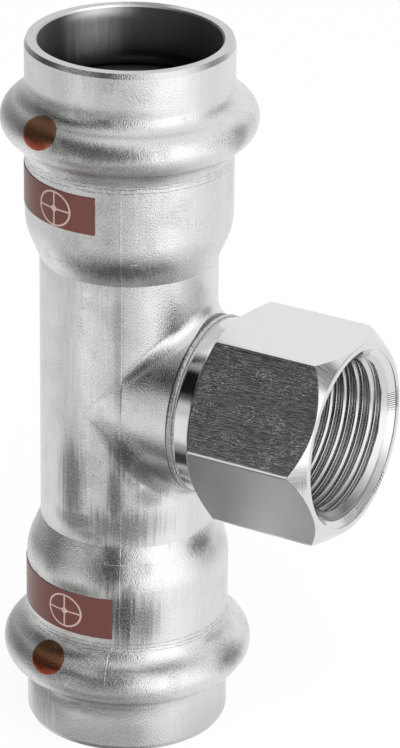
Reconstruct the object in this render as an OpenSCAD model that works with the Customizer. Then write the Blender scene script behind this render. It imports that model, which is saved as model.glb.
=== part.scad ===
// Press tee fitting: one drawn stainless tube with a press socket at each end,
// a short collar drawn out of its side, and a turned hexagon connector with a
// female pipe thread welded to that collar.
// The run stands along Z with its lower mouth on z = 0, and the branch points along +X.
// Sizes are in millimetres.

/* [Run tube] */
// Outside diameter of the plain tube between the sockets
run_od = 22; // [20:0.5:24]
// Wall of the plain tube and of the drawn collar
tube_wall = 1.5; // [1:0.1:2]
// Distance along the run from either mouth to the branch axis
mouth_to_branch = 45.5; // [43:0.5:60]

/* [Press sockets] */
// Outside diameter of the pipe that is pushed into a socket
pipe_od = 22; // [21:0.1:24]
// Play of that pipe in the socket, on the diameter
pipe_play = 0.4; // [0.2:0.05:0.8]
// Wall of a socket
socket_wall = 1.55; // [1.2:0.05:2]
// Length of the straight bore from the mouth to the shoulder
socket_depth = 22.2; // [20:0.1:25]
// Angle between the shoulder's cone and the run axis
shoulder_angle = 22.5; // [18:0.5:30]
// Outside radius of the bend from the socket into its shoulder
shoulder_round = 7.3; // [4:0.1:9]
// Width that the bevel on a mouth's outer edge takes off the end face
rim_bevel_in = 0.25; // [0.1:0.05:0.5]
// Length of that bevel along the socket
rim_bevel_down = 0.6; // [0.2:0.05:1]

/* [Beads and seals] */
// Distance from a mouth to the middle of its bead
bead_from_mouth = 9.9; // [8:0.1:11]
// Thickness of a rubber seal
seal_section = 3.1; // [2.4:0.1:3.4]
// Clearance round a seal inside its bead
seal_clear = 0.05; // [0.03:0.01:0.15]
// Distance that a seal stands back from the socket's bore
seal_setback = 0.05; // [0.03:0.01:0.3]
// Wall at the crown of a bead
bead_wall = 1.3; // [1:0.05:1.8]
// Wall on the flanks of a bead, where rolling thins it most
bead_flank = 1.1; // [0.9:0.05:1.6]
// Distance from the bead's middle to where it starts to rise on the shoulder side
bead_rise_in = 4.9; // [4.2:0.1:6]
// The same distance on the mouth side
bead_rise_out = 4.4; // [4:0.1:5.4]

/* [Drawn branch collar] */
// Amount by which the collar is slimmer than the run, on the diameter
collar_step = 0.2; // [0.1:0.05:1.5]
// Distance that the collar stands out past the outside of the run
collar_stand = 0.6; // [0.4:0.1:4]
// Radius that blends the run into the collar at the crotch
crotch_round = 2.4; // [1.5:0.1:4]
// Radius inside the crotch, where the collar was drawn out
draw_round = 2.4; // [1:0.1:2.6]
// Radius of the fold of both blends, seen along the crotch
fold_radius = 7.6; // [6.5:0.1:7.8]

/* [Weld] */
// Width of the weld seam between the collar and the connector
weld_width = 1.1; // [0.8:0.1:2]
// Height of the seam's crown above the straight line between its two edges
weld_proud = 0.2; // [0.1:0.05:0.5]
// Height of the seam's edge above the collar's outside
weld_foot = 0.15; // [0.05:0.05:0.8]
// Depth of the seam's other edge below the neck's outside
weld_toe = 0.1; // [0.05:0.05:0.3]

/* [Threaded connector] */
// Width of the hexagon across its flats
hex_af = 24; // [23:0.1:27]
// Length of the hexagon, chamfers included
hex_length = 17; // [15:0.1:20]
// Difference between the hexagon's width and the neck's diameter
neck_drop = 2; // [1.4:0.1:3]
// Length of the round neck between the weld and the hexagon
neck_length = 2; // [1:0.1:4]
// Step from the neck out to the hexagon's face on the neck side, on the radius
neck_step = 0.2; // [0.05:0.05:0.6]
// Distance that the open end face is set in from the hexagon's flats
face_inset = 0.05; // [0.02:0.01:0.4]
// Slope of the chamfer on the neck side, measured from the end face
rear_chamfer = 30; // [20:1:45]
// Slope of the chamfer on the open side, measured from the end face
front_chamfer = 45; // [20:1:50]
// Minor diameter of the female pipe thread, bored here as a plain hole
thread_minor = 18.64; // [17:0.01:19]
// Length of the thread's bore
thread_length = 14; // [10:0.1:14.5]
// Step from the thread's bore down to the passage behind it, on the radius
passage_step = 0.3; // [0.25:0.05:0.8]
// Diameter of the shallow recess in the open end face
recess_d = 22.4; // [21:0.1:22.8]
// Depth of that recess
recess_depth = 0.6; // [0.2:0.1:1]
// Step between the recess and the countersink, on the radius
recess_step = 0.2; // [0.05:0.05:0.4]
// Included angle of the countersink in front of the thread
countersink_angle = 120; // [90:5:130]

/* [Paint marks] */
// Thickness of the paint
paint_film = 0.08; // [0.02:0.01:0.15]
// Distance from the bead's middle to the middle of the upper printed field
upper_field_drop = 8.4; // [7.8:0.1:9]
// Distance from the bead's middle to the middle of the lower printed field
lower_field_drop = 8.8; // [8.2:0.1:9.2]
// Height of the upper field
upper_field_height = 4.8; // [3:0.1:5.6]
// Height of the lower field
lower_field_height = 5.3; // [3:0.1:6]
// Direction of the upper field's right edge, counted from the branch
upper_field_angle = -78.3; // [-90:0.1:-60]
// Direction of the lower field's right edge, counted from the branch
lower_field_angle = -68.2; // [-90:0.1:-60]
// Arc that each field covers, running away from the branch
field_arc = 96; // [60:1:120]
// Diameter of the dots on the beads
dot_d = 4.3; // [2:0.1:5]
// Direction that the dots were stamped from, counted from the branch
dot_aim_angle = -66; // [-90:1:-50]
// Rise of that direction above level
dot_rise_angle = 25; // [0:1:40]
// Direction of the upper dot's middle, counted from the branch
upper_dot_angle = -104.8; // [-120:0.1:-60]
// Direction of the lower dot's middle, counted from the branch
lower_dot_angle = -103; // [-120:0.1:-60]
// Angle round the upper bead from its crown up to the dot's middle
upper_climb_angle = 41; // [0:1:60]
// Angle round the lower bead from its crown up to the dot's middle
lower_climb_angle = 58; // [0:1:60]

/* [Hidden] */
$fn = 96;

// Clearance between a paint film and the metal under it
paint_gap = 0.01;
// Length by which a cutting tool runs past the face that it cuts
overrun = 1;
// Depth that a round runs on past the wall or round that it meets, so that they cross
run_out = 0.01;

// Radii of the run, from the plain tube out to the beads
run_r = run_od / 2;
run_bore_r = run_r - tube_wall;
socket_bore_r = (pipe_od + pipe_play) / 2;
socket_r = socket_bore_r + socket_wall;
seal_round = seal_section / 2;
seal_r = socket_bore_r + seal_setback + seal_round;
chamber_round = seal_round + seal_clear;
bead_round = chamber_round + bead_flank;
bead_r = seal_r + chamber_round + bead_wall - bead_round;

// Distances from the branch axis along the run
shoulder_h = mouth_to_branch - socket_depth;
bead_h = mouth_to_branch - bead_from_mouth;

// Collar, weld and connector, as radii and as distances from the run axis
collar_r = run_r - collar_step / 2;
collar_bore_r = collar_r - tube_wall;
collar_end = run_r + collar_stand;
neck_start = collar_end + weld_width;
hex_start = neck_start + neck_length;
hex_end = hex_start + hex_length;
neck_r = (hex_af - neck_drop) / 2;
rear_face_r = neck_r + neck_step;
face_r = hex_af / 2 - face_inset;
hex_corner_r = hex_af / 2 / cos(30);
thread_r = thread_minor / 2;
passage_r = thread_r - passage_step;
recess_r = recess_d / 2;
sink_r = recess_r - recess_step;
sink_start = hex_end - recess_depth;
thread_end = sink_start - (sink_r - thread_r) / tan(countersink_angle / 2);
thread_start = thread_end - thread_length;

// Radius of a fillet that leaves a straight wall at wall_r and meets a bead of the
// radius bead, centred at bead_c, when it starts a distance rise from the bead's middle
function fillet_r(wall_r, bead_c, bead, rise) =
    (pow(rise, 2) + pow(wall_r - bead_c, 2) - pow(bead, 2)) / (2 * (bead - wall_r + bead_c));

// Half of the run in section, from the branch axis to one mouth, filled in to the axis.
// The outside and the bore of the drawn tube are both this shape, with their own radii.
module run_section(tube, socket, bend, bead_c, bead, reach) {
    bend_at = [socket - bend + run_out, shoulder_h];
    cone_top = bend_at + (bend - run_out) * [cos(shoulder_angle), -sin(shoulder_angle)];
    knee_h = cone_top[1] - (cone_top[0] - tube) / tan(shoulder_angle);
    square([tube, reach]);
    polygon([[0, knee_h], [tube, knee_h], cone_top, bend_at, [0, shoulder_h]]);
    translate([0, shoulder_h]) square([socket, reach - shoulder_h]);
    intersection() {
        translate(bend_at) circle(bend);
        translate([0, knee_h]) square([2 * socket, bead_h - knee_h]);
    }
    translate([bead_c, bead_h]) circle(bead);
    for (rise = [-bead_rise_in, bead_rise_out]) {
        fillet = fillet_r(socket, bead_c, bead, rise);
        fillet_at = [socket + fillet, bead_h + rise];
        difference() {
            polygon(rise > 0
                ? [fillet_at, [tube, fillet_at[1]], [tube, bead_h], [bead_c, bead_h]]
                : [fillet_at, [bead_c, bead_h], [tube, bead_h], [tube, fillet_at[1]]]);
            translate(fillet_at) circle(fillet + run_out);
        }
    }
}

// Outside of the drawn tube in section, grown outwards by a coat of paint
module outer_section(coat = 0) {
    run_section(run_r + coat, socket_r + coat, shoulder_round + coat, bead_r, bead_round + coat,
                mouth_to_branch);
}

// Bore of the drawn tube in section
module bore_section() {
    run_section(run_bore_r, socket_bore_r, shoulder_round - socket_wall, seal_r, chamber_round,
                mouth_to_branch + overrun);
}

// Corner that the bevel takes off a mouth's outer edge, in section
module rim_corner() translate([socket_r, mouth_to_branch]) polygon([
    [-rim_bevel_in, 0], [0, -rim_bevel_down], [overrun, -rim_bevel_down],
    [overrun, overrun], [-rim_bevel_in, overrun]
]);

// Puts a copy of what it is given at each end of the run, and lifts both to their height
module both_ends() {
    translate([0, 0, mouth_to_branch]) {
        children();
        mirror([0, 0, 1]) children();
    }
}

// Puts a shape that is drawn along Z on the branch axis instead
module on_branch(distance = 0) {
    translate([distance, 0, mouth_to_branch]) rotate([0, 90, 0]) children();
}

// Saddle blend in the crotch between a run and a branch of the radii run and branch.
// It is a waisted disc on an axis across the fold. Its waist is a little wider than a
// rolling ball of the radius round would leave, so that it cuts both tubes cleanly.
module saddle(run, branch, round) {
    waist = round * 1.25;
    fold = norm([round, round]) - round;
    axis_x = run - (fold_radius - fold) * cos(45);
    axis_z = branch - (fold_radius - fold) * cos(45);
    half = round * 0.62;
    translate([axis_x, 0, axis_z]) rotate([0, 135, 0]) rotate_extrude() difference() {
        translate([0, -half]) square([fold_radius + waist, 2 * half]);
        translate([fold_radius + waist, 0]) circle(waist);
    }
}

// The drawn tube with its sockets, beads and collar
module tee_body() color("gainsboro") difference() {
    union() {
        both_ends() rotate_extrude() difference() {
            outer_section();
            rim_corner();
        }
        on_branch() cylinder(r = collar_r, h = collar_end);
        intersection() {
            both_ends() saddle(run_r, collar_r, crotch_round);
            translate([0, -run_r, 0]) cube([collar_end, run_od, 2 * mouth_to_branch]);
        }
    }
    both_ends() rotate_extrude() bore_section();
    on_branch() cylinder(r = collar_bore_r, h = collar_end + overrun);
    intersection() {
        both_ends() saddle(run_bore_r, collar_bore_r, draw_round);
        translate([0, -run_r, 0]) cube([collar_end, run_od, 2 * mouth_to_branch]);
    }
}

// Seam of weld metal between the collar and the neck, with a low round crown
module branch_weld() color("darkgray") {
    foot = [collar_r + weld_foot, 0];
    toe = [neck_r - weld_toe, weld_width];
    chord = norm(toe - foot);
    crown = (pow(chord / 2, 2) + pow(weld_proud, 2)) / (2 * weld_proud);
    outwards = [toe[1] - foot[1], foot[0] - toe[0]] / chord;
    on_branch(collar_end) rotate_extrude() {
        polygon([[collar_bore_r, 0], foot, toe, [collar_bore_r, weld_width]]);
        intersection() {
            translate((foot + toe) / 2 - (crown - weld_proud) * outwards) circle(crown);
            translate([collar_bore_r + weld_proud, 0]) square([neck_r, weld_width]);
        }
    }
}

// Outside of the connector in section: the neck, then the turned ends of the hexagon
module connector_outline() {
    stock_r = hex_corner_r + overrun;
    rear = tan(rear_chamfer);
    front = tan(front_chamfer);
    square([neck_r, neck_length + hex_length / 2]);
    translate([0, neck_length]) polygon([
        [0, 0], [rear_face_r, 0],
        [stock_r, (stock_r - rear_face_r) * rear],
        [stock_r, hex_length - (stock_r - face_r) * front],
        [face_r, hex_length], [0, hex_length]
    ]);
}

// Passage through the connector in section: waterway, thread bore, countersink and recess
module connector_bore() {
    length = hex_end - neck_start;
    polygon([
        [0, -overrun], [passage_r, -overrun],
        [passage_r, thread_start - neck_start], [thread_r, thread_start - neck_start],
        [thread_r, thread_end - neck_start], [sink_r, sink_start - neck_start],
        [recess_r, sink_start - neck_start], [recess_r, length + overrun], [0, length + overrun]
    ]);
}

// The turned hexagon connector
module threaded_connector() color("silver") on_branch(neck_start) difference() {
    intersection() {
        rotate([0, 0, 30]) cylinder(r = hex_corner_r, h = hex_end - neck_start, $fn = 6);
        rotate_extrude() connector_outline();
    }
    rotate_extrude() connector_bore();
}

// Rubber seal in a bead, at the height h of the bead's middle
module seal(h) color("dimgray") translate([0, 0, h]) rotate_extrude() translate([seal_r, 0]) circle(seal_round);

module upper_seal() seal(mouth_to_branch + bead_h);

module lower_seal() seal(mouth_to_branch - bead_h);

// Coat of paint on one end of the run, left only where a mark's own shape is
module paint_on_end() difference() {
    intersection() {
        rotate_extrude() outer_section(paint_gap + paint_film);
        children();
    }
    rotate_extrude() outer_section(paint_gap);
}

// Printed field: an arc between two heights that ends at the direction edge
module mark_field(edge, drop, height) paint_on_end()
    rotate([0, 0, edge - field_arc]) rotate_extrude(angle = field_arc)
        translate([run_r - tube_wall, bead_h - drop - height / 2]) square([socket_r, height]);

module upper_mark_field() color("#73463e") translate([0, 0, mouth_to_branch])
    mark_field(upper_field_angle, upper_field_drop, upper_field_height);

module lower_mark_field() color("#73463e") translate([0, 0, mouth_to_branch]) mirror([0, 0, 1])
    mark_field(lower_field_angle, lower_field_drop, lower_field_height);

// Stamp that leaves a dot on a bead: a round bar along the stamping line, through the
// point of the bead in the direction side that lies the angle climb above its crown
module dot_stamp(side, climb, rise) rotate([0, 0, side])
    translate([bead_r + bead_round * cos(climb), 0, bead_h + bead_round * sin(climb)])
        rotate([0, 0, dot_aim_angle - side]) rotate([0, 90 - rise, 0])
            cylinder(d = dot_d, h = 4 * dot_d, center = true);

module upper_paint_dot() color("#6b4230") translate([0, 0, mouth_to_branch])
    paint_on_end() dot_stamp(upper_dot_angle, upper_climb_angle, dot_rise_angle);

module lower_paint_dot() color("#6b4230") translate([0, 0, mouth_to_branch]) mirror([0, 0, 1])
    paint_on_end() dot_stamp(lower_dot_angle, -lower_climb_angle, -dot_rise_angle);

tee_body();
threaded_connector();
branch_weld();
upper_seal();
lower_seal();
upper_mark_field();
lower_mark_field();
upper_paint_dot();
lower_paint_dot();
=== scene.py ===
# %% [markdown]
# A press tee in drawn stainless steel
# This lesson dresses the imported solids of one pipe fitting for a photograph. The real
# fitting is a tube whose two ends were widened into press sockets. A short collar was
# drawn out of its side, and a turned hexagon with a pipe thread was welded to it. Almost
# everything that the eye reads here is bare metal. So the lesson spends its effort on
# clean surfaces, on what the studio reflects in them, and on fine marks of making.

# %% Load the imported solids
import math
from functools import partial, reduce
from math import cos, pi, radians, sin, tau
import bmesh
import bpy
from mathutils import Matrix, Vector


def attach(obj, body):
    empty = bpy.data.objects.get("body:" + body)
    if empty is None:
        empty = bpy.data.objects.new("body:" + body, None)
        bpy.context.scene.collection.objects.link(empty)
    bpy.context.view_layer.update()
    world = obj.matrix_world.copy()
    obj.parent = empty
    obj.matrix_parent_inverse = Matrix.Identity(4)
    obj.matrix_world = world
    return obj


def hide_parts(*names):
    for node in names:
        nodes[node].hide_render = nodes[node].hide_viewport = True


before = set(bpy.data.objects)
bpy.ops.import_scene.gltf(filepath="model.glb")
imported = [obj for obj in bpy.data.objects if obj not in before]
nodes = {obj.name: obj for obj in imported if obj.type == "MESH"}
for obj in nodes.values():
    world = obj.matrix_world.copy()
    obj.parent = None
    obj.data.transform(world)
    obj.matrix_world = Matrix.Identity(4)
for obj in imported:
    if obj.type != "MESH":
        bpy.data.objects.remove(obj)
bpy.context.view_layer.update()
print("loaded", len(nodes), "solids")

# %% [markdown]
# Sizes
# The solids are exact, but their meshes are loose triangles, and polished metal shows
# every facet. The visible skins are therefore built again here from the same sizes, as
# regular grids with smooth normals. All sizes are the drawing's, in millimetres, and
# one helper turns them into Blender's metres.

# %% The drawing's sizes
MM = 0.001
MIDDLE = 45.5
RUN_R, RUN_BORE = 11.0, 9.5
SOCKET_R, SOCKET_BORE = 12.75, 11.2
SHOULDER_H, SHOULDER_SLOPE = 23.3, radians(22.5)
BEAD_H, BEAD_RISE_IN, BEAD_RISE_OUT = 35.6, 4.9, 4.4
BEVEL_IN, BEVEL_DOWN, MOUTH_BEVEL, MOUTH_DEEP = 0.25, 0.6, 0.2, 0.8
COLLAR_TAPER, COLLAR_END = 0.1, 11.6
NECK_START, HEX_START, HEX_END = 12.7, 14.7, 31.7
NECK_R, REAR_FACE_R, FACE_R, HEX_FLAT = 11.0, 11.2, 11.95, 12.0
PASSAGE_R, THREAD_R, THREAD_START = 9.02, 9.32, 16.13
SINK_R, RECESS_R, SINK_START, SINK_FOOT = 11.12, 11.2, 31.55, 30.13
THREAD_PITCH, THREAD_DEPTH = 1.814, 0.9
BEAD_C, BEAD_R, REAR_SLOPE = 13.0, 2.7, math.tan(radians(30))


def metres(*point):
    """A point in millimetres as a vector in metres."""
    return Vector(point) * MM


def ring_point(out, radius, turn):
    """A point round the branch's axis, at one distance along it."""
    return metres(out, radius * cos(turn), MIDDLE + radius * sin(turn))


print("the fitting is", round(2 * MIDDLE), "mm tall")

# %% [markdown]
# Building meshes
# Every metal piece is turned or drawn, so it can be made as columns of points that are
# stitched side by side. Where columns meet at a seam or a pole, the doubles are merged.
# Edges sharper than a chosen angle are then marked, so that a turned corner stays crisp
# while the rounds around it are shaded smoothly.


# %% Helpers that stitch columns of points into a mesh
SAME_POINT, THIN_EDGE, SAME_SEAM = 2e-6, 1e-6, 3e-6


def stitch(columns, closed=False):
    """Points and quads from columns of equal length that lie side by side."""
    points = [point for column in columns for point in column]
    rows = len(columns[0])
    pairs = list(zip(range(len(columns)), range(1, len(columns))))
    if closed:
        pairs.append((len(columns) - 1, 0))
    quads = [(a * rows + k, b * rows + k, b * rows + k + 1, a * rows + k + 1)
             for a, b in pairs for k in range(rows - 1)]
    return points, quads


def show(name, data):
    """A new object, in the scene."""
    made = bpy.data.objects.new(name, data)
    bpy.context.scene.collection.objects.link(made)
    return made


def evaluated_mesh(carrier):
    """The mesh that an object's modifiers make; the object itself goes."""
    shaped = carrier.evaluated_get(bpy.context.evaluated_depsgraph_get())
    mesh = bpy.data.meshes.new_from_object(shaped)
    bpy.data.objects.remove(carrier)
    return mesh


def finish_piece(name, shape, crisp):
    """An object from a finished shape, faces outwards, smooth up to an angle between faces."""
    bmesh.ops.recalc_face_normals(shape, faces=shape.faces)
    mesh = bpy.data.meshes.new(name)
    shape.to_mesh(mesh)
    shape.free()
    mesh.shade_smooth()
    mesh.set_sharp_from_angle(angle=radians(crisp))
    print(name, len(mesh.polygons), "faces")
    return show(name, mesh)


def build(name, sheets, crisp=30.0):
    """One closed piece from several stitched sheets, welded where they meet."""
    shape = bmesh.new()
    for points, quads, *finish in sheets:
        corners = [shape.verts.new(point) for point in points]
        for quad in quads:
            face = shape.faces.new([corners[k] for k in quad])
            face.material_index = finish[0] if finish else 0
    bmesh.ops.remove_doubles(shape, verts=shape.verts, dist=SAME_POINT)
    bmesh.ops.dissolve_degenerate(shape, edges=shape.edges, dist=THIN_EDGE)
    return finish_piece(name, shape, crisp)


def seat(piece, materials, slot, *solids):
    """Gives a piece its materials and lets it stand for its solids. The slot is not used."""
    for material in materials:
        piece.data.materials.append(material)
    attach(piece, "root")
    if solids:
        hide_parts(*solids)


# %% Helpers that draw the run's section
def arc(centre, radius, first, last, steps):
    """Points on a circle from one angle to another, in degrees."""
    turn = [radians(first + (last - first) * k / steps) for k in range(steps + 1)]
    return [(centre[0] + radius * cos(a), centre[1] + radius * sin(a)) for a in turn]


def blend(wall, bead_c, bead, rise):
    """Fillet between a straight wall and a bead: its centre, radius and meeting angle."""
    radius = (rise ** 2 + (wall - bead_c) ** 2 - bead ** 2) / (2 * (bead - wall + bead_c))
    centre = (wall + radius, BEAD_H + rise)
    return centre, radius, math.degrees(math.atan2(rise, centre[0] - bead_c))


def section(tube, wall, bend, bead_c, bead):
    """Half of the run's outline from its mouth down to the knee, as radius and height."""
    far, far_r, far_turn = blend(wall, bead_c, bead, BEAD_RISE_OUT)
    near, near_r, near_turn = blend(wall, bead_c, bead, -BEAD_RISE_IN)
    top = MIDDLE - MOUTH_DEEP
    outline = [(wall, top - (top - far[1]) * k / 6) for k in range(6)]
    outline += arc(far, far_r, 180, 180 + far_turn, 14)
    outline += arc((bead_c, BEAD_H), bead, far_turn, near_turn, 48)[1:]
    outline += arc(near, near_r, 180 + near_turn, 180, 14)[1:]
    outline += [(wall, near[1] + (SHOULDER_H - near[1]) * k / 8) for k in range(1, 8)]
    outline += arc((wall - bend, SHOULDER_H), bend, 0, -math.degrees(SHOULDER_SLOPE), 14)
    slope_r, slope_h = outline[-1]
    knee = slope_h - (slope_r - tube) / math.tan(SHOULDER_SLOPE)
    outline += [(slope_r + (tube - slope_r) * k / 8, slope_h + (knee - slope_h) * k / 8)
                for k in range(1, 9)]
    return outline


CROTCH_ROUND = 2.4
skin = [(SOCKET_R - BEVEL_IN, MIDDLE), (SOCKET_R, MIDDLE - BEVEL_DOWN),
        (SOCKET_R, MIDDLE - BEVEL_DOWN - 0.1)]
skin += section(RUN_R, SOCKET_R, 7.3, BEAD_C, BEAD_R)
bore = [(SOCKET_BORE + MOUTH_BEVEL, MIDDLE), (SOCKET_BORE, MIDDLE - MOUTH_BEVEL)]
bore += section(RUN_BORE, SOCKET_BORE, 5.75, 12.8, 1.6)
print("outside section", len(skin), "points, bore", len(bore))

# %% [markdown]
# The drawn body
# Seen across the branch, the crotch between two equal tubes is the same corner at every
# plane, only smaller: at the height y it shrinks by the cosine of the run's angle. The
# fillet can shrink with it. So one rule carries every column from the mouth, down the
# run, round the fillet and out along the collar, and the blend fades to nothing at the
# sides, as it does on a collar that was drawn out of a tube. Below the branch the metal
# was drawn more softly, so there the fillet keeps its size longer.


# %% Columns of the body
HALF_TURN_STEPS, COLUMN_STEPS, COLLAR_STEPS, SOFT_BELOW = 144, 16, 10, 2.2


def collar_point(side, out, up, tube):
    """A point near the collar, with the slight taper that the drawing die leaves."""
    slim = 1 - COLLAR_TAPER / tube * out / COLLAR_END
    return out, side * slim, up * slim


def front_column(angle, outline, tube, round_r, up):
    """From the mouth down the run and out along the collar, at one angle of the run."""
    shrink = abs(cos(angle))
    if up < 0 and shrink > 1e-6:
        round_r *= math.tanh(SOFT_BELOW * shrink) / (math.tanh(SOFT_BELOW) * shrink)
    touch = shrink * (tube + round_r)
    column = [(r * cos(angle), r * sin(angle), h) for r, h in outline]
    knee = outline[-1][1]
    side = tube * sin(angle)
    column += [(tube * shrink, side, knee + (touch - knee) * k / COLUMN_STEPS)
               for k in range(1, COLUMN_STEPS + 1)]
    last = pi / 2
    if touch > COLLAR_END:
        last = math.acos(1 - (COLLAR_END / shrink - tube) / round_r)
    for k in range(1, COLUMN_STEPS + 1):
        turn = last * k / COLUMN_STEPS
        out = shrink * (tube + round_r * (1 - cos(turn)))
        column.append(collar_point(side, out, shrink * (tube + round_r * (1 - sin(turn))), tube))
    start, height = min(touch, COLLAR_END), shrink * (tube + round_r * (1 - sin(last)))
    column += [collar_point(side, start + (COLLAR_END - start) * k / COLLAR_STEPS, height, tube)
               for k in range(1, COLLAR_STEPS + 1)]
    return [metres(x, y, MIDDLE + up * z) for x, y, z in column]


def back_column(angle, outline, tube, up):
    """From the mouth down the plain back of the run to the height of the branch."""
    column = [(r, h) for r, h in outline]
    knee = outline[-1][1]
    column += [(tube, knee * (1 - k / COLUMN_STEPS)) for k in range(1, COLUMN_STEPS + 1)]
    return [metres(r * cos(angle), r * sin(angle), MIDDLE + up * h) for r, h in column]


def tube_sheets(outline, tube, round_r, finish=0):
    """The four sheets of one skin of the body: front and back, above and below."""
    half = [radians(-90 + 180 * k / HALF_TURN_STEPS) for k in range(HALF_TURN_STEPS + 1)]
    sheets = []
    for up in (1, -1):
        front = [front_column(a, outline, tube, round_r, up) for a in half]
        back = [back_column(a + pi, outline, tube, up) for a in half]
        sheets += [(*stitch(front), finish), (*stitch(back), finish)]
    return sheets


# %% Join the two skins into the body
outer_sheets = tube_sheets(skin, RUN_R, CROTCH_ROUND)
inner_sheets = tube_sheets(bore, RUN_BORE, CROTCH_ROUND, finish=1)


def ends(sheets, row):
    """The points that one row of each sheet's columns has, sheet by sheet."""
    found = []
    for points, quads, *_ in sheets:
        rows = quads[0][1] - quads[0][0]
        found.append(points[row % rows::rows])
    return found


bridges = []
for out_row, in_row in zip(ends(outer_sheets, 0), ends(inner_sheets, 0)):
    bridges.append(stitch([list(pair) for pair in zip(out_row, in_row)]))
for k in (0, 2):
    pairs = zip(ends(outer_sheets, -1)[k], ends(inner_sheets, -1)[k])
    bridges.append(stitch([list(pair) for pair in pairs]))
body = build("drawn_body", outer_sheets + inner_sheets + bridges, crisp=16)

# %% [markdown]
# Small tools for node trees
# Materials, the studio and the thread are all node trees. A few short helpers keep them
# readable: one fills a node's sockets with values or links, one adds a node, and one adds
# a Math node and hands back its result. The others are short names for what comes often.


# %% Node helpers
def feed(node, inputs):
    """Fills or links a node's input sockets, by name or number, and returns the node."""
    for key, value in inputs.items():
        if isinstance(value, bpy.types.NodeSocket):
            node.id_data.links.new(value, node.inputs[key])
        else:
            node.inputs[key].default_value = value
    return node


def add(tree, kind, inputs=None, **settings):
    """Adds a node, makes its own settings, and fills or links its input sockets."""
    made = tree.nodes.new(kind)
    for name, value in settings.items():
        setattr(made, name, value)
    return feed(made, inputs or {})


def tree_of(values):
    """The node tree that the first socket among some values belongs to."""
    return next(value.id_data for value in values if isinstance(value, bpy.types.NodeSocket))


def calc(operation, *values, clamp=False):
    """Adds a Math node in the tree of its values, and returns its result."""
    return add(tree_of(values), "ShaderNodeMath", dict(enumerate(values)), operation=operation,
               use_clamp=clamp).outputs[0]


times, plus = partial(calc, "MULTIPLY"), partial(calc, "ADD")
minus, over = partial(calc, "SUBTRACT"), partial(calc, "DIVIDE")
times_plus, larger = partial(calc, "MULTIPLY_ADD"), partial(calc, "MAXIMUM")
above, under = partial(calc, "GREATER_THAN"), partial(calc, "LESS_THAN")


# %% Helpers for places, noises and soft steps
def split(place):
    """The three numbers of a place, by name."""
    return add(place.id_data, "ShaderNodeSeparateXYZ", {0: place}).outputs


def point_at(*numbers):
    """A place from its numbers."""
    return add(tree_of(numbers), "ShaderNodeCombineXYZ", dict(enumerate(numbers))).outputs[0]


def stretch(place, factors):
    """A place with each of its numbers multiplied by its own factor."""
    return add(place.id_data, "ShaderNodeVectorMath", {0: place, 1: factors},
               operation="MULTIPLY").outputs[0]


def rotate(place, angle):
    """A place turned about the vertical axis."""
    return add(place.id_data, "ShaderNodeVectorRotate", {"Vector": place, "Angle": angle},
               rotation_type="Z_AXIS").outputs[0]


def length(first, second):
    """How far a point lies from the middle, from its two distances."""
    return calc("SQRT", times_plus(first, first, times(second, second)))


def noise(place, size, detail=2.0):
    """A noise over a place, with its scale and its number of finer layers."""
    return add(place.id_data, "ShaderNodeTexNoise",
               {"Vector": place, "Scale": size, "Detail": detail}).outputs["Fac"]


def soften(value, low, high, first=0.0, last=1.0):
    """Maps a value's range onto another range, with soft ends."""
    return add(value.id_data, "ShaderNodeMapRange",
               {"Value": value, "From Min": low, "From Max": high, "To Min": first, "To Max": last},
               interpolation_type="SMOOTHSTEP").outputs[0]


# %% Helpers that make a node group, and a mesh from one
def new_group(name, inputs, outputs, kind="ShaderNodeTree"):
    """A node group with named sockets: each is a name, a socket type and a default."""
    tree = bpy.data.node_groups.new(name, kind)
    for title, sort, default in inputs:
        socket = tree.interface.new_socket(title, in_out="INPUT", socket_type=sort)
        if default is not None:
            socket.default_value = default
    for title, sort in outputs:
        tree.interface.new_socket(title, in_out="OUTPUT", socket_type=sort)
    source, drain = tree.nodes.new("NodeGroupInput"), tree.nodes.new("NodeGroupOutput")
    return tree, source.outputs, drain


def run_tree(name, tree, values):
    """Evaluates a Geometry Nodes tree on an empty mesh, and returns the plain result."""
    carrier = show(name, bpy.data.meshes.new(name))
    modifier = carrier.modifiers.new("Shape", "NODES")
    modifier.node_group = tree
    for item in tree.interface.items_tree:
        if item.in_out == "INPUT" and item.name in values:
            modifier[item.identifier] = values[item.name]
    mesh = evaluated_mesh(carrier)
    print(name, len(mesh.polygons), "faces from nodes")
    return mesh


FLOAT, VECTOR, WHOLE = "NodeSocketFloat", "NodeSocketVector", "NodeSocketInt"
SHAPE, FINISH = "NodeSocketGeometry", "NodeSocketMaterial"

# %% [markdown]
# Marks of making, shared by the metals
# Drawn and turned steel carries the same few marks at different sizes: a fine grain that
# breaks up each reflection, streaks along the way that the tool went, and scattered
# scratches. Each is a node group, built once. The groups give out only places, heights
# and masks, and each metal decides how much of them to use. Lengths in the node trees
# are metres, as in Blender's own places.

# %% Group: angle, height and unrolled place round the run, for marks that follow the tube
round_tree, given, result = new_group(
    "Round the run", [("Place", VECTOR, None)],
    [("Angle", FLOAT), ("Height", FLOAT), ("Unrolled", VECTOR)])
place = split(given["Place"])
turned = calc("ARCTAN2", place["Y"], place["X"])
level = minus(place["Z"], MIDDLE * MM)
feed(result, {"Angle": turned, "Height": level,
              "Unrolled": point_at(times(turned, SOCKET_R * MM), level)})

# %% Group: a window, one between two limits with soft edges and nought elsewhere
window_tree, given, result = new_group(
    "Window",
    [("Value", FLOAT, 0.0), ("Centre", FLOAT, 0.0), ("Half", FLOAT, 1.0), ("Soft", FLOAT, 0.1)],
    [("Mask", FLOAT)])
away = calc("ABSOLUTE", minus(given["Value"], given["Centre"]))
faded = over(minus(away, given["Half"]), given["Soft"])
feed(result, {"Mask": soften(faded, -1.0, 1.0, 1.0, 0.0)})

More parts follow.
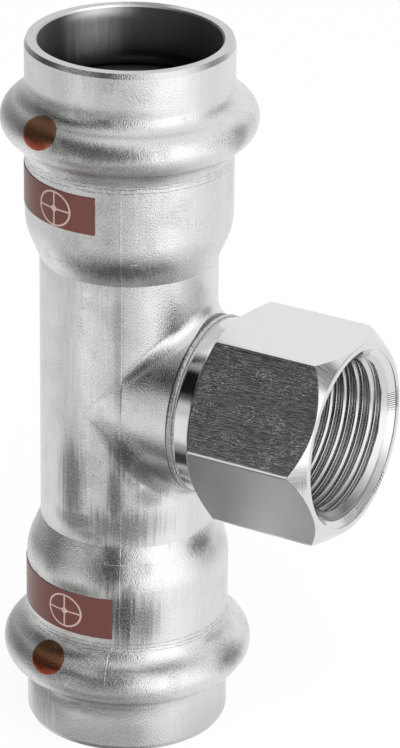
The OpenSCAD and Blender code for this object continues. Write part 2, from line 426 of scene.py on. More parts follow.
# %% Group: fine grain that comes in patches, and streaks along the way of the tool
grain_tree, given, result = new_group(
    "Metal grain",
    [("Place", VECTOR, None), ("Size", FLOAT, 4500.0), ("Patch Size", FLOAT, 260.0),
     ("Even Share", FLOAT, 0.3), ("Stretch", VECTOR, (1.0, 1.0, 1.0)), ("Streak Size", FLOAT, 3000.0)],
    [("Height", FLOAT), ("Patch", FLOAT), ("Streak", FLOAT)])
fine = add(grain_tree, "ShaderNodeTexNoise",
           {"Vector": given["Place"], "Scale": given["Size"], "Detail": 2.0, "Roughness": 0.6})
patch = soften(noise(given["Place"], given["Patch Size"], 1.0), 0.3, 0.75)
share = larger(patch, given["Even Share"])
drawn = stretch(given["Place"], given["Stretch"])
feed(result, {"Height": times(minus(fine.outputs["Fac"], 0.5), share), "Patch": patch,
              "Streak": noise(drawn, given["Streak Size"], 3.0)})

# %% Group: a ragged spot round one place on the unrolled tube
RAGGEDNESS = -1.6
stain_tree, given, result = new_group(
    "Stain",
    [("Angle", FLOAT, 0.0), ("Height", FLOAT, 0.0), ("Ragged", FLOAT, 0.5), ("At Angle", FLOAT, 0.0),
     ("At Height", FLOAT, 0.0), ("Wide", FLOAT, 0.1), ("Tall", FLOAT, 0.001), ("Edge", FLOAT, 0.6)],
    [("Mask", FLOAT)])
wide = over(minus(given["Angle"], given["At Angle"]), given["Wide"])
tall = over(minus(given["Height"], given["At Height"]), given["Tall"])
reach = times_plus(minus(given["Ragged"], 0.5), RAGGEDNESS, length(wide, tall))
mask = soften(reach, minus(1.0, given["Edge"]), plus(1.0, given["Edge"]), 1.0, 0.0)
feed(result, {"Mask": mask})

# %% Group: short scratches and dents that lie at one slant
scratch_tree, given, result = new_group(
    "Scratches",
    [("Place", VECTOR, None), ("Slant", FLOAT, 0.0), ("Size", FLOAT, 160.0),
     ("Slenderness", FLOAT, 14.0), ("Rarity", FLOAT, 0.7)],
    [("Mask", FLOAT)])
lined = stretch(rotate(given["Place"], given["Slant"]), point_at(given["Slenderness"], 1.0, 1.0))
mask = add(scratch_tree, "ShaderNodeMapRange",
           {"Value": noise(lined, given["Size"], 1.0), "From Min": given["Rarity"],
            "From Max": plus(given["Rarity"], 0.03)})
feed(result, {"Mask": mask.outputs[0]})
print("built", len(bpy.data.node_groups), "shared groups")

# %% Helpers that start a material and place a group in it
# The colour sockets of a mix node go by number, because several sockets share a name.
MIX_FACTOR, MIX_FIRST, MIX_SECOND, MIX_RESULT = 0, 6, 7, 2


def start_material(name, **values):
    """A new node material: its shader, with some values, and the object's own places."""
    material = bpy.data.materials.new(name)
    material.use_nodes = True
    shader = feed(material.node_tree.nodes["Principled BSDF"], values)
    return material, shader, add(material.node_tree, "ShaderNodeTexCoord").outputs["Object"]


def use(group, inputs):
    """Places a shared group in the tree of its inputs, and returns what it gives out."""
    return add(tree_of(inputs.values()), "ShaderNodeGroup", inputs, node_tree=group).outputs


def window(value, centre, half, soft):
    """The mask of the shared window: one where a value is within half of the centre."""
    return use(window_tree, {"Value": value, "Centre": centre, "Half": half, "Soft": soft})["Mask"]


def highest(*masks):
    """The largest of several masks."""
    return reduce(larger, masks)


def grey(level):
    """An opaque grey as a colour."""
    return (level, level, level * 0.99, 1.0)


def mix(amount, first, second):
    """A colour mix; the colours may be values or sockets."""
    return add(amount.id_data, "ShaderNodeMix",
               {MIX_FACTOR: amount, MIX_FIRST: first, MIX_SECOND: second},
               data_type="RGBA").outputs[MIX_RESULT]


def coat(tint, *layers):
    """Lays greys over a tint, one after the other, each by its own amount."""
    for amount, level in layers:
        tint = mix(amount, tint, grey(level))
    return tint


def bump(shader, *layers):
    """Feeds heights, each with its real depth in metres, into the shader's normal."""
    normal = {}
    for height, depth in layers:
        made = add(shader.id_data, "ShaderNodeBump",
                   {"Height": height, "Strength": 1.0, "Distance": depth, **normal})
        normal = {"Normal": made.outputs[0]}
    feed(shader, normal)


# %% [markdown]
# Drawn steel
# The body was drawn, rolled and pickled, not polished. Reflections are broad and a
# little smoky, they break up into grain at their edges, and lines of tool contact run
# round the beads. A weld seam of the strip that the tube was made from runs down it, and
# handling has left small dents and scratches.

# %% Material: drawn steel, its places and its grain
drawn_steel, shader, place = start_material("drawn steel", Metallic=1.0)
round_run = use(round_tree, {"Place": place})
flat_place, angle, height = round_run["Unrolled"], round_run["Angle"], round_run["Height"]
far_up = calc("ABSOLUTE", height)
grain = use(grain_tree, {"Place": place, "Size": 5600.0, "Even Share": 0.5, "Stretch": (1.0, 1.0, 0.05)})
wobble, smut = noise(place, 150.0, 1.0), noise(place, 6500.0)
formed = window(far_up, 0.0285, 0.0115, 0.0015)
print("drawn steel grain ready")

# %% Drawn steel: stains and painted shade, each as angle, height, half width, half height and strength
STAINS = [
    (-99, -9.5, 9, 5.0, 0.8), (-95, -14.8, 14, 1.3, 0.75), (-88, -16.2, 9, 0.8, 0.6),
    (-68, -11, 5, 5, 0.75), (-62, -14.8, 24, 2.2, 0.7), (-109, -20.6, 6, 1.6, 0.5),
    (-69, -19.8, 7, 2.8, 0.95), (-8, -18.9, 9, 1.1, 0.85), (-62, -26.4, 9, 3.4, 1.0),
    (-52, -27.0, 10, 3.0, 0.7), (-68, 20.0, 26, 1.3, 0.85), (-66, 10, 3, 8, 0.3),
    (-118, -41.0, 16, 3.2, 0.8), (-63, -5.0, 8, 3.0, 0.9), (-65, -3.2, 5, 1.6, 0.6),
    (-54, -7.2, 8, 2.0, 0.7), (-45, -10.5, 9, 1.5, 0.6), (-3, 36.0, 7, 1.2, 0.5),
    (-1, -34.4, 9, 1.3, 0.7), (-110, 39.8, 12, 0.8, 0.45), (-90, -31.1, 18, 0.6, 0.45),
    (-66, -33.8, 9, 0.8, 0.65), (-74, -35.2, 18, 0.5, 0.45), (-99, -35.0, 14, 0.7, 0.5),
    (-92, -23.5, 13, 0.8, 0.7), (-76, 36.3, 20, 0.9, 0.8), (108, 45.4, 13, 1.4, 0.85),
]


def spot(side, level, wide, tall, ragged=grain["Streak"], edge=0.7):
    """A spot on the tube: its angle and height, and half its width and height."""
    return use(stain_tree, {
        "Angle": angle, "Height": height, "Ragged": ragged, "At Angle": radians(side),
        "At Height": level * MM, "Wide": radians(wide), "Tall": tall * MM, "Edge": edge})["Mask"]


# Some of these dark patches are real smudges; the others are painted dark reflections, and painted shade
# on the dark sides of the crotch.
stain = highest(*[times(spot(*where), strength) for *where, strength in STAINS])
stain = times(stain, soften(smut, 0.35, 0.6, 0.72, 1.0))

# %% Drawn steel: scratches, the strip's seam and the creases beside the beads
NICKS = [(-58, -19.65, 13, 0.07), (-56.3, 21.2, 2.5, 0.1), (-70, -33.0, 0.3, 1.4)]
CREASES, BESIDE_BEAD = (0.0304, 0.0309, 0.0313), 0.0308
scars = [use(scratch_tree, {"Place": flat_place, "Slant": slant, "Size": size,
                            "Slenderness": slender, "Rarity": rare})["Mask"]
         for slant, size, slender, rare in [(0.1, 300.0, 9.0, 0.77), (1.45, 420.0, 7.0, 0.765)]]
scar = highest(*scars, *[spot(*where, ragged=0.5, edge=0.5) for where in NICKS])
strip_seam = times(window(angle, radians(-64.3), 0.005, 0.006), window(far_up, 0.0, 0.0302, 0.0008))
chatter = noise(point_at(times(angle, 16.0), times(height, 2600.0)), 1.0)
strayed = times_plus(minus(chatter, 0.5), 0.0006, far_up)
crease = highest(*[window(strayed, at, 0.00005, 0.00008) for at in CREASES])
crease = times(crease, soften(chatter, 0.4, 0.55, 0.15, 1.0))
chatter = times(minus(chatter, 0.5), window(far_up, BESIDE_BEAD, 0.0008, 0.0004))

# %% Drawn steel: the polish of the bevelled rim, and the finished shader
rim = above(far_up, (MIDDLE - BEVEL_DOWN - 0.05) * MM)
rough_height = times(grain["Height"], soften(formed, 0.0, 1.0, 0.55, 1.0))
rough_height = times_plus(times(stain, grain["Height"]), 0.8, rough_height)
marks = times_plus(crease, -1.0, times_plus(scar, -1.0, strip_seam))
marks = times_plus(chatter, 1.6, marks)
bump(shader, (wobble, 0.00025), (rough_height, 0.00011), (marks, 0.00003))
# A lighter patch on the run, a little above the middle.
clean = spot(-84, 8.5, 16, 8.5)
# A darker band between each bead and its mouth, on one side of the run.
grime = times(window(far_up, 0.0402, 0.0006, 0.0006), window(angle, radians(-100), 0.75, 0.6))
grime = times(grime, soften(smut, 0.35, 0.6, 0.4, 0.7))
# Painted shade: the lower mouth grows darker towards the floor.
near_floor = soften(height, -0.0455, -0.037, 0.6, 0.0)
tint = coat(mix(grain["Streak"], grey(0.69), grey(0.81)), (times(clean, 0.7), 0.97),
            (times(rim, 0.8), 0.55), (stain, 0.1), (grime, 0.2), (near_floor, 0.5),
            (times(scar, 0.5), 0.9), (times(strip_seam, 0.3), 0.5), (times(crease, 0.5), 0.3))
rough = times(soften(smut, 0.3, 0.7, 0.1, 0.28), times_plus(rim, -0.6, 1.0))
feed(shader, {"Base Color": tint, "Roughness": rough})
print("drawn steel with", len(STAINS), "stains")

# %% [markdown]
# The dull bore
# The bore was never polished, and pickling has left it dull. It gets its own finish: a
# darker, rougher steel, streaked along the tube. Painted shade makes it fade to dark with
# its depth and darkens one side. The other side is brighter: its steel is rougher and less
# metallic there, so that it takes up the light that falls in. A painted highlight brightens
# the far lip.

# %% Material: dull bore
dull_bore, shader, place = start_material("dull bore")
round_run = use(round_tree, {"Place": place})
grain = use(grain_tree, {"Place": place, "Size": 5000.0, "Even Share": 1.0,
                         "Stretch": (1.0, 1.0, 0.06), "Streak Size": 2200.0})
depth = calc("ABSOLUTE", round_run["Height"])
bright_side = window(round_run["Angle"], radians(145), 0.12, 0.36)
# Painted shade on one side, and below it painted shade with depth and a painted highlight on the far
# lip.
dark_side = window(round_run["Angle"], radians(72), 0.35, 0.4)
lit = times(soften(grain["Streak"], 0.4, 0.6, 0.7, 1.0), bright_side)
lip = times(soften(depth, 0.0434, 0.045), window(round_run["Angle"], radians(142), 0.28, 0.26))
deep = soften(depth, 0.0385, 0.0428, 0.72, 0.0)
tint = coat(mix(grain["Streak"], grey(0.45), grey(0.65)), (times(dark_side, 0.75), 0.15),
            (lit, 0.24), (deep, 0.01), (lip, 0.85))
bump(shader, (grain["Height"], 0.00002))
feed(shader, {"Base Color": tint, "Roughness": times_plus(lit, 0.1, 0.38),
              "Metallic": times_plus(larger(lit, lip), -0.9, 1.0)})
seat(body, [drawn_steel, dull_bore], "drawn_steel", "tee_body")

# %% [markdown]
# Studio and camera
# Metal only shows what stands around it. The world is drawn here as a studio: a pale
# surround, a broad window of light to the right, and darker walls and screens to the
# left, below and behind the camera. Camera rays see plain white instead, and the floor
# leaves the reflections to this studio, so it stays pale in them from every side.

# %% Camera at the photograph's place
lens = bpy.data.cameras.new("photo_camera")
lens.lens = 195.49
lens.sensor_width = 36.0
lens.clip_start = 0.01
camera = show("photo_camera", lens)
camera.location = (0.231738, -0.394263, 0.259765)
camera.rotation_euler = [radians(a) for a in (65.01026, -0.68100, 29.65240)]
bpy.context.scene.camera = camera
bpy.context.scene.view_settings.view_transform = "Standard"
print("camera lens", lens.lens)

# %% The studio's surround
CAMERA_SIDE = -59.55
world = bpy.data.worlds.new("studio")
bpy.context.scene.world = world
world.use_nodes = True
sky = world.node_tree
sky.nodes.clear()
gaze = add(sky, "ShaderNodeTexCoord").outputs["Generated"]
gaze_up = calc("ARCSINE", split(gaze)["Z"])
SURROUND = 0.95
SCREENS = [
    # side of the camera, height, half width, half height, softness, brightness
    (-105, 26, 60, 42, 20, 0.28),
    (-38, 20, 40, 34, 12, 0.24),
    (-84, 31, 38, 15, 6, 0.10),
    (-70, 40, 13, 13, 3, 0.01),
    (-100, 10, 18, 12, 8, 0.09),
    (-60, 6, 16, 13, 6, 0.68),
    (-22, 12, 13, 18, 9, 0.065),
    (42, 10, 28, 34, 9, 1.45),
    (105, 8, 16, 17, 9, 0.36),
    (-35, -43, 65, 14, 8, 0.38),
    (-57, -13, 9, 15, 5, 0.95),
    (-73, -50, 12, 9, 5, 0.05),
    (-32, -65, 46, 7, 5, 0.02),
    (12, -62, 18, 10, 8, 0.25),
    (-122, -66, 38, 9, 8, 0.28),
    (0, -84, 400, 9, 8, 0.28),
]
shade = add(sky, "ShaderNodeValue").outputs[0]
shade.default_value = SURROUND
for side, *limits, level in SCREENS:
    rise, wide, tall, soft = [radians(limit) for limit in limits]
    apart = split(rotate(gaze, -radians(CAMERA_SIDE + side)))
    across = calc("ARCTAN2", apart["Y"], apart["X"])
    share = times(window(across, 0.0, wide, soft), window(gaze_up, rise, tall, soft))
    shade = times_plus(share, minus(level, shade), shade)
path = add(sky, "ShaderNodeLightPath").outputs
studio = add(sky, "ShaderNodeBackground", {"Color": shade, "Strength": 1.0})
white = add(sky, "ShaderNodeBackground", {"Color": (1, 1, 1, 1), "Strength": 1.0})
seen = add(sky, "ShaderNodeMixShader", {"Fac": path["Is Camera Ray"], 1: studio.outputs[0],
                                        2: white.outputs[0]})
add(sky, "ShaderNodeOutputWorld", {"Surface": seen.outputs[0]})
print("studio with", len(SCREENS), "screens")

# %% A soft lamp for the paint and the floor's shadow
soft_box = bpy.data.lights.new("soft_box", "AREA")
soft_box.shape = "DISK"
soft_box.size = 0.7
soft_box.energy = 6.0
lamp = show("soft_box", soft_box)
lamp.location = (0.35, -0.35, 0.75)
lamp.rotation_euler = (Vector((0, 0, 0.04)) - Vector(lamp.location)).to_track_quat("-Z", "Y").to_euler()
lamp.visible_glossy = False
print("soft lamp", soft_box.energy, "watts")

# %% The floor
FLOOR_GLOW = 0.93
floor_mesh = bpy.data.meshes.new("floor")
reach = 1.5
floor_mesh.from_pydata([(-reach, -reach, 0), (reach, -reach, 0), (reach, reach, 0), (-reach, reach, 0)],
                       [], [(0, 1, 2, 3)])
floor = show("floor", floor_mesh)
floor_paint = bpy.data.materials.new("floor paint")
floor_paint.use_nodes = True
tree = floor_paint.node_tree
tree.nodes.clear()
matt = add(tree, "ShaderNodeBsdfDiffuse", {"Color": (0.85, 0.85, 0.85, 1)})
glow = add(tree, "ShaderNodeEmission", {"Color": (1, 1, 1, 1), "Strength": 1.0})
path = add(tree, "ShaderNodeLightPath").outputs
clear = highest(path["Is Camera Ray"], path["Is Glossy Ray"], path["Is Transmission Ray"])
surface = add(tree, "ShaderNodeMixShader", {"Fac": times(clear, FLOOR_GLOW), 1: matt.outputs[0],
                                            2: glow.outputs[0]})
add(tree, "ShaderNodeOutputMaterial", {"Surface": surface.outputs[0]})
floor_mesh.materials.append(floor_paint)
floor.visible_glossy = False

# %% [markdown]
# The helical thread
# A pipe thread is one groove that winds along the bore, so its shape is a rule: the
# radius at any point depends only on how far the winding has come there. A flat grid can
# be rolled into the bore by Geometry Nodes with that rule. The grid's rows are slanted
# to follow the winding, which keeps every crest smooth with few rows. At the open end
# the countersink cuts it, and at the inner end the groove runs out.


# %% Helpers: a flat grid that a rule rolls round the branch's axis
def start_grid(name, *inputs):
    """A geometry group with a grid: its sockets, the grid, and how far round and along."""
    tree, given, result = new_group(
        name, [(title, FLOAT, default) for title, default in inputs] + [
            ("Columns", WHOLE, 193), ("Rows", WHOLE, 241), ("Finish", FINISH, None)],
        [("Geometry", SHAPE)], "GeometryNodeTree")
    grid = add(tree, "GeometryNodeMeshGrid", {
        "Size X": 1.0, "Size Y": 1.0, "Vertices X": given["Columns"], "Vertices Y": given["Rows"]})
    flat = split(add(tree, "GeometryNodeInputPosition").outputs[0])
    return tree, given, result, grid, plus(flat["X"], 0.5), plus(flat["Y"], 0.5)


def end_grid(grid, given, result, out, radius, turn):
    """Rolls the grid, merges its seam, and ends the group with a real mesh in its finish."""
    rolled = point_at(out, times(radius, calc("COSINE", turn)), times(radius, calc("SINE", turn)))
    shape = add(grid.id_data, "GeometryNodeSetPosition",
                {"Geometry": grid.outputs["Mesh"], "Position": rolled})
    for kind, inputs in [("GeometryNodeMergeByDistance", {"Distance": SAME_POINT}),
                         ("GeometryNodeRealizeInstances", {}),
                         ("GeometryNodeSetMaterial", {"Material": given["Finish"]})]:
        shape = add(grid.id_data, kind, {"Geometry": shape.outputs[0], **inputs})
    feed(result, {"Geometry": shape.outputs[0]})


# %% Geometry Nodes: the thread
thread_tree, given, result, grid, around, along = start_grid(
    "Threaded bore", ("Start", 0.0), ("End", 0.0), ("Minor Radius", 0.0), ("Depth", 0.0),
    ("Pitch", 0.0), ("Turns", 10.0), ("Sink Start", 0.0), ("Sink Slope", 0.0), ("Run Out", 0.001))
winding = minus(times_plus(along, given["Turns"], around), 1.0)
free = times_plus(winding, given["Pitch"], given["Start"])
held = calc("MINIMUM", larger(free, given["Start"]), given["End"])
travel = minus(held, given["Start"])
phase = calc("FRACT", plus(minus(over(travel, given["Pitch"]), around), 1.0))
groove = soften(minus(1.0, calc("ABSOLUTE", times_plus(phase, 2.0, -1.0))), 0.0, 1.0)
cut = times(times(groove, soften(travel, 0.0, given["Run Out"])), given["Depth"])
sunk = times_plus(minus(held, given["Sink Start"]), given["Sink Slope"], given["Minor Radius"])
radius = larger(plus(given["Minor Radius"], cut), sunk)
end_grid(grid, given, result, held, radius, times(around, tau))
print("thread rule of", len(thread_tree.nodes), "nodes")

# %% [markdown]
# The hexagon connector
# It was turned from hexagon bar. A flat's distance from the axis grows towards the
# hexagon's corners, so the two turned chamfers cut it along curves. Each column of the
# mesh stops exactly where chamfer and flat meet, which draws those curves by itself. A
# small bevel then gives every edge the thin bright line that a deburred edge has, and a
# painted highlight on the hexagon's corners brightens those lines further.

# %% Material: turned steel, its places on the connector
turned_steel, shader, place = start_material("turned steel", Metallic=1.0)
parts = split(place)
out, aside, rise = parts["X"], parts["Y"], minus(parts["Z"], MIDDLE * MM)
radius, facing = length(aside, rise), calc("ARCTAN2", rise, aside)
travel = over(minus(out, THREAD_START * MM), THREAD_PITCH * MM)
phase = calc("FRACT", times_plus(facing, -1 / tau, plus(travel, 1.0)))
in_front = under(plus(out, radius), (HEX_END + FACE_R - 0.06) * MM)
behind = above(times_plus(radius, -REAR_SLOPE, out), (HEX_START - REAR_FACE_R * REAR_SLOPE + 0.05) * MM)
on_flats = times(above(radius, 11.97 * MM), times(in_front, behind))
in_bore = times(under(radius, 10.7 * MM), under(out, 31.0 * MM))
on_neck = window(out, 0.0137, 0.001, 0.0001)
near_mouth = above(out, 0.0302)

# %% Turned steel: milling lines on the flats, and painted glints on the front flat
grain = use(grain_tree, {"Place": place, "Size": 8500.0, "Patch Size": 350.0, "Even Share": 1.0,
                         "Stretch": (0.1, 1.0, 1.0), "Streak Size": 7500.0})
corners = above(radius, 13.74 * MM)
plain = times(on_flats, minus(1.0, corners))
milled = times(times_plus(grain["Height"], 1.3, grain["Streak"]), plain)
front_flat = times(window(facing, radians(150), radians(30), 0.02), plain)
# Bright flecks on the front flat are painted glints.
flecks = noise(stretch(place, (0.35, 1.0, 1.0)), 8800.0, 1.0)
sparkle = times(soften(flecks, 0.57, 0.72), front_flat)
sparkle = times(sparkle, soften(grain["Patch"], 0.0, 1.0, 0.25, 1.0))

# %% Turned steel: turning rings, lines in the groove, and chatter on the countersink
CHATTER = [  # angle, half angle, radius, half its width, and how often the tool jumps
    (5, 7, 10.95, 0.7, 230), (-52, 8, 11.45, 0.26, 160), (-86, 6, 10.75, 0.3, 210)]
turning = times(noise(point_at(radius, out), 4200.0), minus(1.0, on_flats))
groove_lines = times(calc("SINE", times(phase, tau * 9)), window(phase, 0.5, 0.2, 0.06))
groove_lines = times(groove_lines, in_bore)
ticks = []
for side, half, at, reach, often in CHATTER:
    beat = times_plus(calc("SINE", times(facing, often)), 0.5, 0.5)
    along = window(facing, radians(side), radians(half), 0.05)
    ticks.append(times(beat, times(along, window(radius, at * MM, reach * MM, 0.00006))))
ticks = times(highest(*ticks), near_mouth)
bump(shader, (milled, 0.000018), (turning, 0.00001), (groove_lines, 0.00002), (ticks, 0.00005),
     (sparkle, 0.000014))

# %% Turned steel: darker patches on the chamfer by the face, and the finished shader
scraped = noise(point_at(times(facing, 90.0), times(radius, 400.0)), 1.0)
rear_side = window(calc("ABSOLUTE", facing), pi, 0.12, 0.06)
# Darker patches on the front chamfer, at its upper corner and on its side.
corner = larger(window(facing, radians(121), radians(9), 0.08), times(rear_side, 0.5))
corner = times(times(corner, minus(1.0, in_front)), under(out, 0.03165))
corner = times(corner, soften(scraped, 0.3, 0.65, 1.0, 0.7))
low_flat = times(window(facing, radians(-150), radians(30), 0.02), plain)
fading = times(low_flat, soften(out, 0.014, 0.031, 0.8, 0.0))
cone = times(window(radius, 0.01065, 0.00045, 0.00005), window(facing, radians(-52), 0.35, 0.2))
cone = times(cone, near_mouth)
# Painted shade in the threaded bore, darkest towards its bottom.
shaded = soften(facing, radians(-110), radians(-15), 0.72, 0.15)
lined = mix(soften(grain["Streak"], 0.4, 0.6), grey(0.26), grey(0.56))
# In these layers the hexagon's corners are painted near white, a painted highlight along its edges.
tint = coat(mix(grain["Streak"], grey(0.66), grey(0.84)), (times(plain, 0.6), 0.84), (fading, 0.4),
            (times(corners, on_flats), 0.97), (times(ticks, 0.8), 0.15))
# The front flat is painted much darker than the other flats, a painted dark reflection, with its milling
# lines in it; the painted glints go on top.
tint = coat(mix(times(front_flat, 0.85), tint, lined), (times(sparkle, 0.6), 0.95),
            (times(cone, 0.8), 0.3), (times(in_bore, shaded), 0.12), (times(corner, 0.95), 0.12))
rough = times_plus(on_neck, -0.04, times_plus(plain, 0.05, 0.11))
feed(shader, {"Base Color": tint, "Roughness": times_plus(in_bore, 0.06, rough)})
print("turned steel with", len(CHATTER), "fields of chatter")


# %% The connector's outside
def hex_radius(turn):
    """Distance from the axis to the hexagon at one angle, with flats above and below."""
    step = pi / 3
    return HEX_FLAT / cos((turn - pi / 2 + step / 2) % step - step / 2)


def outside_column(turn):
    """From the rear of the thread round the neck and hexagon to the countersink's edge.

    Each straight stretch gets a point near either end, which keeps its shading flat.
    """
    flat = hex_radius(turn)
    rear = HEX_START + (flat - REAR_FACE_R) * REAR_SLOPE
    front = HEX_END - (flat - FACE_R)
    profile = [(THREAD_START, THREAD_R), (THREAD_START, PASSAGE_R), (NECK_START, PASSAGE_R),
               (NECK_START, NECK_R), (HEX_START, NECK_R), (HEX_START, REAR_FACE_R), (rear, flat)]
    profile += [(rear + (front - rear) * k / 6, flat) for k in range(1, 6)]
    profile += [(front, flat), (HEX_END, FACE_R), (HEX_END, RECESS_R), (SINK_START, RECESS_R),
                (SINK_START, SINK_R)]
    held = []
    for first, last in zip(profile, profile[1:]):
        span = math.dist(first, last)
        inset = min(0.2, span / 3) / span
        held.append(first)
        held += [tuple(a + (b - a) * part for a, b in zip(first, last)) for part in (inset, 1 - inset)]
    return [ring_point(x, r, turn) for x, r in held + profile[-1:]]


COLUMNS, BROKEN_EDGE = 192, 0.13
shell = build("connector", [stitch([outside_column(tau * k / COLUMNS) for k in range(COLUMNS)],
                                   closed=True)], crisp=25)
edge = shell.modifiers.new("Broken edges", "BEVEL")
edge.width = BROKEN_EDGE * MM
edge.segments = 2
edge.limit_method = "ANGLE"
edge.angle_limit = radians(28)
edge.harden_normals = True
shell_mesh = evaluated_mesh(shell)

# %% The threaded bore, and both joined
bore_mesh = run_tree("threaded_bore", thread_tree, {
    "Start": THREAD_START * MM, "End": SINK_START * MM, "Minor Radius": THREAD_R * MM,
    "Depth": THREAD_DEPTH * MM, "Pitch": THREAD_PITCH * MM, "Turns": 10.0,
    "Sink Start": SINK_FOOT * MM, "Sink Slope": (SINK_R - THREAD_R) / (SINK_START - SINK_FOOT),
    "Run Out": 1.5 * MM, "Columns": COLUMNS + 1, "Rows": 241, "Finish": turned_steel})


def join(name, rolled, plain, crisp):
    """Lifts a rolled mesh to the branch, and welds it and a plain one into one piece."""
    for vertex in rolled.vertices:
        vertex.co.z += MIDDLE * MM
    shape = bmesh.new()
    for mesh in (rolled, plain):
        shape.from_mesh(mesh)
    bmesh.ops.remove_doubles(shape, verts=shape.verts, dist=SAME_SEAM)
    print(name, "has", sum(len(edge.link_faces) != 2 for edge in shape.edges), "open edges")
    return finish_piece(name, shape, crisp)


connector = join("hexagon_connector", bore_mesh, shell_mesh, crisp=40)
seat(connector, [turned_steel], "turned_steel", "threaded_connector")

# %% [markdown]
# The weld seam
# The seam is a low ring of melted metal with ripples. It is again a grid that is rolled
# up by a rule in Geometry Nodes, and a noise with a fixed place moves its surface, so
# that it looks poured and not turned.

# %% Geometry Nodes: the weld
weld_tree, given, result, grid, around, along = start_grid(
    "Weld ring", ("Start", 0.0), ("Width", 0.0), ("Foot Radius", 0.0), ("Toe Radius", 0.0),
    ("Crown", 0.0), ("Ripple", 0.0), ("Ripple Size", 900.0))
turn = times(around, tau)
chord = times_plus(along, minus(given["Toe Radius"], given["Foot Radius"]), given["Foot Radius"])
arch = calc("POWER", larger(calc("SINE", times(along, pi)), 0.0), 0.7)
circle = point_at(along, calc("COSINE", turn), calc("SINE", turn))
wave = noise(stretch(circle, (0.0015, 0.0115, 0.0115)), given["Ripple Size"])
wave = times(minus(wave, 0.5), times(arch, given["Ripple"]))
radius = plus(times_plus(arch, given["Crown"], chord), wave)
end_grid(grid, given, result, times_plus(along, given["Width"], given["Start"]), radius, turn)
print("weld rule of", len(weld_tree.nodes), "nodes")

# %% Material: weld metal, darker where it has bitten into its edges
weld_steel, shader, place = start_material("weld metal", Metallic=1.0, Roughness=0.34)
lumps = noise(place, 3200.0, 3.0)
along = times_plus(minus(lumps, 0.5), 0.0002, split(place)["X"])
bitten = highest(*[window(along, at * MM, half * MM, 0.00008)
                   for at, half in ((COLLAR_END + 0.14, 0.13), (NECK_START - 0.22, 0.05))])
tint = coat(mix(lumps, grey(0.36), grey(0.88)), (times(bitten, 0.8), 0.1))
feed(shader, {"Base Color": tint})
bump(shader, (lumps, 0.00009), (bitten, -0.00006))

# %% The weld ring
WELD_FOOT, WELD_TOE, WELD_BORE, WELD_COLUMNS = 11.05, 10.9, 9.4, 480
crown_mesh = run_tree("weld_crown", weld_tree, {
    "Start": COLLAR_END * MM, "Width": (NECK_START - COLLAR_END) * MM, "Foot Radius": WELD_FOOT * MM,
    "Toe Radius": WELD_TOE * MM, "Crown": 0.2 * MM, "Ripple": 0.14 * MM, "Ripple Size": 1500.0,
    "Columns": WELD_COLUMNS + 1, "Rows": 17, "Finish": weld_steel})
core_profile = [(COLLAR_END, WELD_FOOT), (COLLAR_END, WELD_BORE), (NECK_START, WELD_BORE),
                (NECK_START, WELD_TOE)]
core = build("weld_core", [stitch([[ring_point(x, r, tau * k / WELD_COLUMNS) for x, r in core_profile]
                                   for k in range(WELD_COLUMNS)], closed=True)])
weld = join("weld_seam", crown_mesh, evaluated_mesh(core), crisp=50)
seat(weld, [weld_steel], "weld_steel", "branch_weld")

# %% [markdown]
# The printed fields
# Two thin brown fields are printed on the sockets. On the real product they carry a
# pictogram. This one carries a plain generic mark instead: a fine pale ring with cross
# hairs and a dot. The fields are real films with a thickness, bent round the socket, and
# the mark is drawn by the distance to its centre on the unrolled surface.

# %% Film on a socket
FILM, FILM_GAP, FIELD_STEPS, LEVELS = 0.08, 0.01, 96, 7


def mark_field(name, last, arc_length, low, high):
    """A printed film between two heights over the branch, ending at the angle last."""
    levels = [low + (high - low) * j / (LEVELS - 1) for j in range(LEVELS)]
    loop = [(SOCKET_R + FILM_GAP + FILM, h) for h in levels]
    loop += [(SOCKET_R + FILM_GAP, h) for h in reversed(levels)]
    columns = []
    for k in range(FIELD_STEPS + 1):
        turn = radians(last - arc_length * (1 - k / FIELD_STEPS))
        columns.append([metres(r * cos(turn), r * sin(turn), MIDDLE + h)
                        for r, h in loop + loop[:1]])
    final = 2 * LEVELS - 1
    caps = [(column[:-1], [(j, j + 1, final - 1 - j, final - j) for j in range(LEVELS - 1)])
            for column in (columns[0], columns[-1])]
    return build(name, [stitch(columns)] + caps)


upper_field = mark_field("upper_field", -78.3, 96.0, 24.8, 29.6)
lower_field = mark_field("lower_field", -68.0, 96.0, -29.55, -24.05)


# %% Material: printed field with a generic mark
def field_material(name, centre_angle, centre_height):
    """Brown ink with a pale registration mark round one point of the socket."""
    material, shader, place = start_material(name, Metallic=0.4, Roughness=0.3)
    where = use(round_tree, {"Place": place})
    sideways = times(minus(where["Angle"], radians(centre_angle)), SOCKET_R * MM / 1.14)
    upwards = minus(where["Height"], centre_height * MM)
    distance = length(sideways, upwards)
    ring_r, half, soft = 0.00214, 0.00011, 0.00004
    ring = window(distance, ring_r, half, soft)
    dot = window(distance, 0.0, 0.0004, soft)
    hairs = []
    for one, other in ((sideways, upwards), (upwards, sideways)):
        hairs.append(times(window(one, 0.0, half * 0.9, soft), window(other, 0.0, ring_r, soft)))
    worn = noise(place, 2500.0)
    mark = times(highest(ring, dot, *hairs), times_plus(worn, 0.5, 0.6, clamp=True))
    ink = mix(worn, (0.155, 0.052, 0.042, 1), (0.19, 0.068, 0.055, 1))
    feed(shader, {"Base Color": mix(mark, ink, (0.72, 0.55, 0.5, 1))})
    bump(shader, (worn, 0.000004))
    return material


seat(upper_field, [field_material("upper field ink", -104.2, 27.1)], "field_paint", "upper_mark_field")
seat(lower_field, [field_material("lower field ink", -97.45, -26.8)], "field_paint", "lower_mark_field")

# %% [markdown]
# The varnish dots
# A stamp has left a dot of brown varnish on each bead. The bead is curved both ways, so
# the dot is made as the stamp made it: points on a flat disc travel along the stamping
# direction until they meet the bead, a hair above the metal.

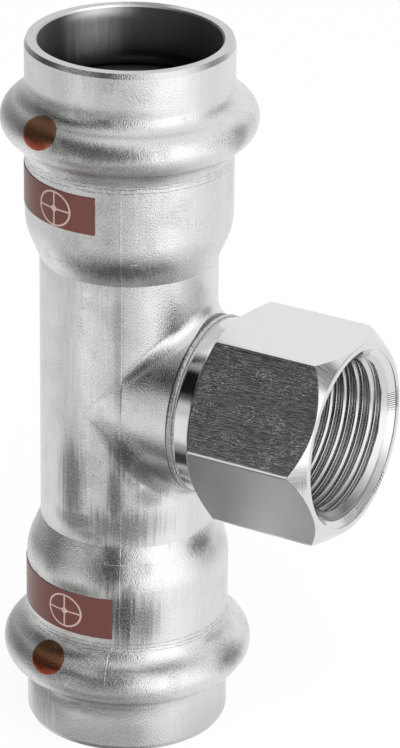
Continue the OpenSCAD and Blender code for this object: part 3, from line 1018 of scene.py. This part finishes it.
# %% Film on a bead
DOT_R, DOT_STEPS, DOT_SPOKES = 2.15, 12, 64
STAMP_SIDE, STAMP_RISE, STAMP_START, STAMP_STEP, STAMP_END = -66, 25, 6, 0.05, 14


def film_radius(height):
    """Outside radius of the run at one height from the branch, read from its outline."""
    height = abs(height)
    for (r0, h0), (r1, h1) in zip(skin, skin[1:]):
        if h1 <= height <= h0 and h0 > h1:
            return r0 + (r1 - r0) * (h0 - height) / (h0 - h1)
    return RUN_R


def meet(start, direction, lift):
    """Where a straight line first comes within lift of the run's outside."""
    def inside(way):
        point = start + direction * way
        return math.hypot(point.x, point.y) < film_radius(point.z) + lift

    near = 0.0
    while near < STAMP_END and not inside(near + STAMP_STEP):
        near += STAMP_STEP
    far = near + STAMP_STEP
    for _ in range(24):
        middle = (near + far) / 2
        near, far = (near, middle) if inside(middle) else (middle, far)
    return start + direction * near


def varnish_dot(name, side, climb, up):
    """A dot of varnish stamped on a bead; side and climb place its middle there."""
    across, rise = radians(side), radians(climb)
    reach = BEAD_C + BEAD_R * cos(rise)
    middle = Vector((reach * cos(across), reach * sin(across),
                     up * BEAD_H + BEAD_R * sin(rise)))
    aim, lift = radians(STAMP_SIDE), radians(STAMP_RISE)
    back = Vector((cos(aim) * cos(lift), sin(aim) * cos(lift), sin(lift)))
    right = Vector((0, 0, 1)).cross(back).normalized()
    upright = back.cross(right)
    parts = [j / DOT_STEPS for j in range(DOT_STEPS + 1)]
    columns = []
    for k in range(DOT_SPOKES):
        turn = tau * k / DOT_SPOKES
        spoke = (right * cos(turn) + upright * sin(turn)) * DOT_R
        starts = [middle + back * STAMP_START + spoke * part for part in parts]
        outer = [meet(start, -back, FILM_GAP + FILM * (1 - 0.75 * part ** 8))
                 for start, part in zip(starts, parts)]
        inner = [meet(start, -back, FILM_GAP) for start in starts]
        columns.append([metres(p.x, p.y, MIDDLE + p.z) for p in outer + inner[::-1]])
    return build(name, [stitch(columns, closed=True)], crisp=60)


upper_dot = varnish_dot("upper_dot", -104.8, 41.0, 1)
lower_dot = varnish_dot("lower_dot", -103.0, 58.0, -1)

# %% Material: brown varnish
UPPER_DOT_H, LOWER_DOT_H = 0.0370, -0.0334
varnish, shader, place = start_material("brown varnish", Metallic=0.95, Roughness=0.24)
uneven = noise(place, 3000.0)
level = use(round_tree, {"Place": place})["Height"]
middle = times_plus(above(level, 0.0), UPPER_DOT_H - LOWER_DOT_H, LOWER_DOT_H)
sunk = soften(minus(level, middle), -0.0012, 0.0004, 1.0, 0.0)
tint = mix(uneven, (0.2, 0.095, 0.045, 1), (0.34, 0.18, 0.1, 1))
feed(shader, {"Base Color": mix(sunk, tint, (0.36, 0.075, 0.04, 1))})
bump(shader, (uneven, 0.00006))
seat(upper_dot, [varnish], "dot_paint", "upper_paint_dot")
seat(lower_dot, [varnish], "dot_paint", "lower_paint_dot")

# %% [markdown]
# The seals
# A rubber ring lies in each bead. Its solid has the right shape already and hardly shows
# from outside, so it stays and only gets a finish: smooth black rubber with a trace of
# mould grain.

# %% Material: seal rubber
rubber, shader, place = start_material("seal rubber", Roughness=0.45)
specks = noise(place, 1800.0)
feed(shader, {"Base Color": mix(specks, (0.012, 0.012, 0.012, 1), (0.03, 0.03, 0.03, 1))})
bump(shader, (specks, 0.000008))
for name in ("upper_seal", "lower_seal"):
    nodes[name].data.materials.clear()
    nodes[name].data.materials.append(rubber)
print("seals finished")
